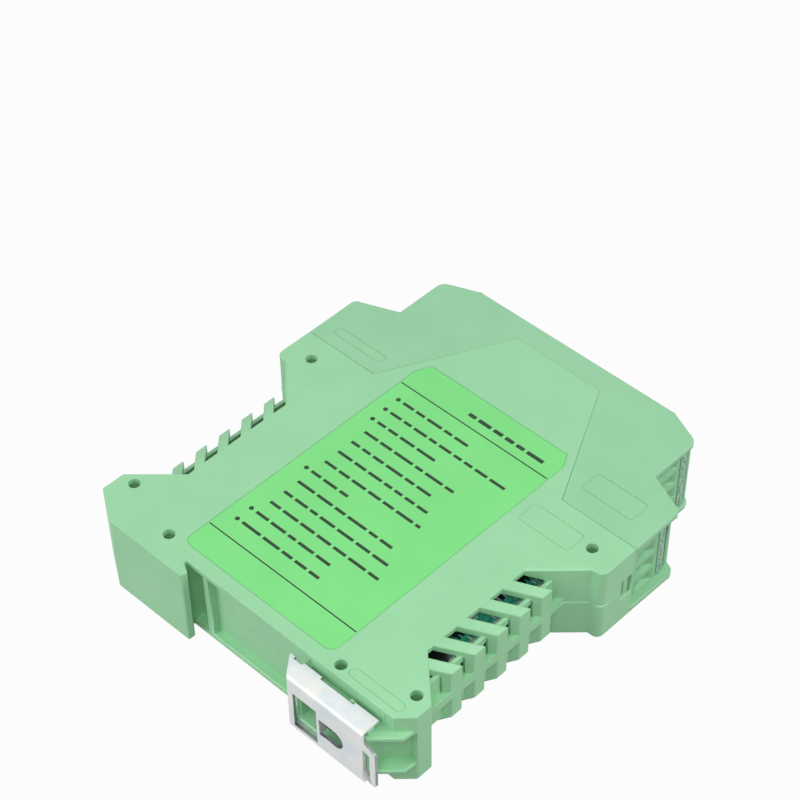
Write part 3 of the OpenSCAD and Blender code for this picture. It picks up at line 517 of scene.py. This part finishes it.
def windCoil(cfg):
    length = cfg["startY"] - cfg["endY"]
    closedFall = cfg["closed"] * 2 * cfg["wireR"] * cfg["closedPitch"]
    runs = ((cfg["closed"], closedFall), (cfg["turns"] - 2 * cfg["closed"], length - 2 * closedFall),
            (cfg["closed"], closedFall))
    start = Vector((cfg["x"] + cfg["coilR"], cfg["startY"], cfg["z"])) * mm
    bm = bmesh.new()
    wire = bmesh.ops.create_circle(bm, segments=cfg["sides"], radius=cfg["wireR"] * mm,
                                   matrix=Matrix.Translation(start))["verts"]
    section = wire + bm.edges[:]
    for turns, fall in runs:
        steps = round(turns * cfg["steps"])
        spun = bmesh.ops.spin(bm, geom=section, cent=Vector((cfg["x"], 0, cfg["z"])) * mm, axis=(0, 1, 0),
                              dvec=(0, -fall * mm / steps, 0), angle=-2 * math.pi * turns, steps=steps)
        section = spun["geom_last"]
    bmesh.ops.holes_fill(bm, edges=bm.edges, sides=cfg["sides"])
    bmesh.ops.recalc_face_normals(bm, faces=bm.faces)
    # the wire's sides are smooth and its two cut ends are flat
    for face in bm.faces:
        face.smooth = len(face.verts) == 4
    piece = addPiece(bm, "latchCoil", "spring")
    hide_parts("latch_spring")
    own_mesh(piece)


windCoil(coil)
print("coil wound")

# floor, sky and lamps, each lamp with its place and width in metres and its watts; the paper looks near white to the
# camera, and is mid grey to the light so that it brightens the flanks less
studio = {
    "floorHalf": 1.5, "floorDrop": 0.05, "floorGlow": 0.97, "paper": "#808080", "skyStrength": 0.46,
    "lamps": (("leftLamp", (-0.5, 0.2, 0.3), 0.45, 1.4), ("rightLamp", (0.3, -0.42, 0.4), 0.45, 1.8),
              ("topLamp", (-0.4, -0.32, 0.64), 0.2, 1.75)),
}
# camera fitted to the corners in the photo, in mm, degrees and pixels
view = {"place": (-247.907, -241.533, 388.417), "turn": (41.449, -0.026, -46.714),
        "focalPx": 2146.82, "centrePx": (433.72, 552.13), "imagePx": 800,
        "sensorMm": 36.0, "nearestM": 0.01}


# 1 for rays that should see the plain white background, 0 for rays that light the object
def backgroundRays(tree):
    path = addNode(tree, "ShaderNodeLightPath")
    seen = path.outputs["Is Camera Ray"]
    for kind in ("Is Glossy Ray", "Is Transmission Ray"):
        seen = addNode(tree, "ShaderNodeMath", {"operation": "MAXIMUM"}, {0: seen, 1: path.outputs[kind]}).outputs[0]
    return seen


def buildFloor(cfg):
    bm = bmesh.new()
    bmesh.ops.create_grid(bm, x_segments=1, y_segments=1, size=cfg["floorHalf"],
                          matrix=Matrix.Translation((0, 0, -cfg["floorDrop"] * mm)))
    mesh = bpy.data.meshes.new("paleFloor")
    bm.to_mesh(mesh)
    bm.free()
    floor = bpy.data.objects.new("paleFloor", mesh)
    bpy.context.scene.collection.objects.link(floor)
    material = bpy.data.materials.new("PalePaper")
    material.use_nodes = True
    tree = material.node_tree
    tree.nodes.clear()
    paper = addNode(tree, "ShaderNodeBsdfDiffuse", {"Color": hexColor(cfg["paper"])})
    glow = addNode(tree, "ShaderNodeEmission", {"Color": (1.0, 1.0, 1.0, 1.0), "Strength": 1.0})
    share = addNode(tree, "ShaderNodeMath", {"operation": "MULTIPLY", 1: cfg["floorGlow"]}, {0: backgroundRays(tree)})
    both = addNode(tree, "ShaderNodeMixShader", links={0: share.outputs[0], 1: paper.outputs[0], 2: glow.outputs[0]})
    addNode(tree, "ShaderNodeOutputMaterial", links={"Surface": both.outputs[0]})
    mesh.materials.append(material)


def buildSky(cfg):
    world = bpy.data.worlds.new("softRoom")
    bpy.context.scene.world = world
    world.use_nodes = True
    tree = world.node_tree
    tree.nodes.clear()
    level = addNode(tree, "ShaderNodeMapRange", {"To Min": cfg["skyStrength"], "To Max": 1.0},
                    {"Value": backgroundRays(tree)})
    sky = addNode(tree, "ShaderNodeBackground", {"Color": (1.0, 1.0, 1.0, 1.0)},
                  {"Strength": level.outputs["Result"]})
    addNode(tree, "ShaderNodeOutputWorld", links={"Surface": sky.outputs[0]})


def hangLamps(cfg):
    for name, place, size, watts in cfg["lamps"]:
        lamp = bpy.data.lights.new(name, "AREA")
        lamp.shape = "DISK"
        lamp.size = size
        lamp.energy = watts
        holder = bpy.data.objects.new(name, lamp)
        holder.location = place
        holder.rotation_euler = (-Vector(place)).to_track_quat("-Z", "Y").to_euler()
        bpy.context.scene.collection.objects.link(holder)


def placeCamera(cfg):
    lens = bpy.data.cameras.new("photoCamera")
    lens.sensor_width = cfg["sensorMm"]
    lens.lens = cfg["focalPx"] / cfg["imagePx"] * lens.sensor_width
    lens.shift_x = 0.5 - cfg["centrePx"][0] / cfg["imagePx"]
    lens.shift_y = cfg["centrePx"][1] / cfg["imagePx"] - 0.5
    lens.clip_start = cfg["nearestM"]
    camera = bpy.data.objects.new("photoCamera", lens)
    camera.location = Vector(cfg["place"]) * mm
    camera.rotation_euler = [math.radians(a) for a in cfg["turn"]]
    bpy.context.scene.collection.objects.link(camera)
    bpy.context.scene.camera = camera


buildFloor(studio)
buildSky(studio)
hangLamps(studio)
placeCamera(view)
bpy.context.scene.view_settings.view_transform = "Standard"
print("stage and camera ready")
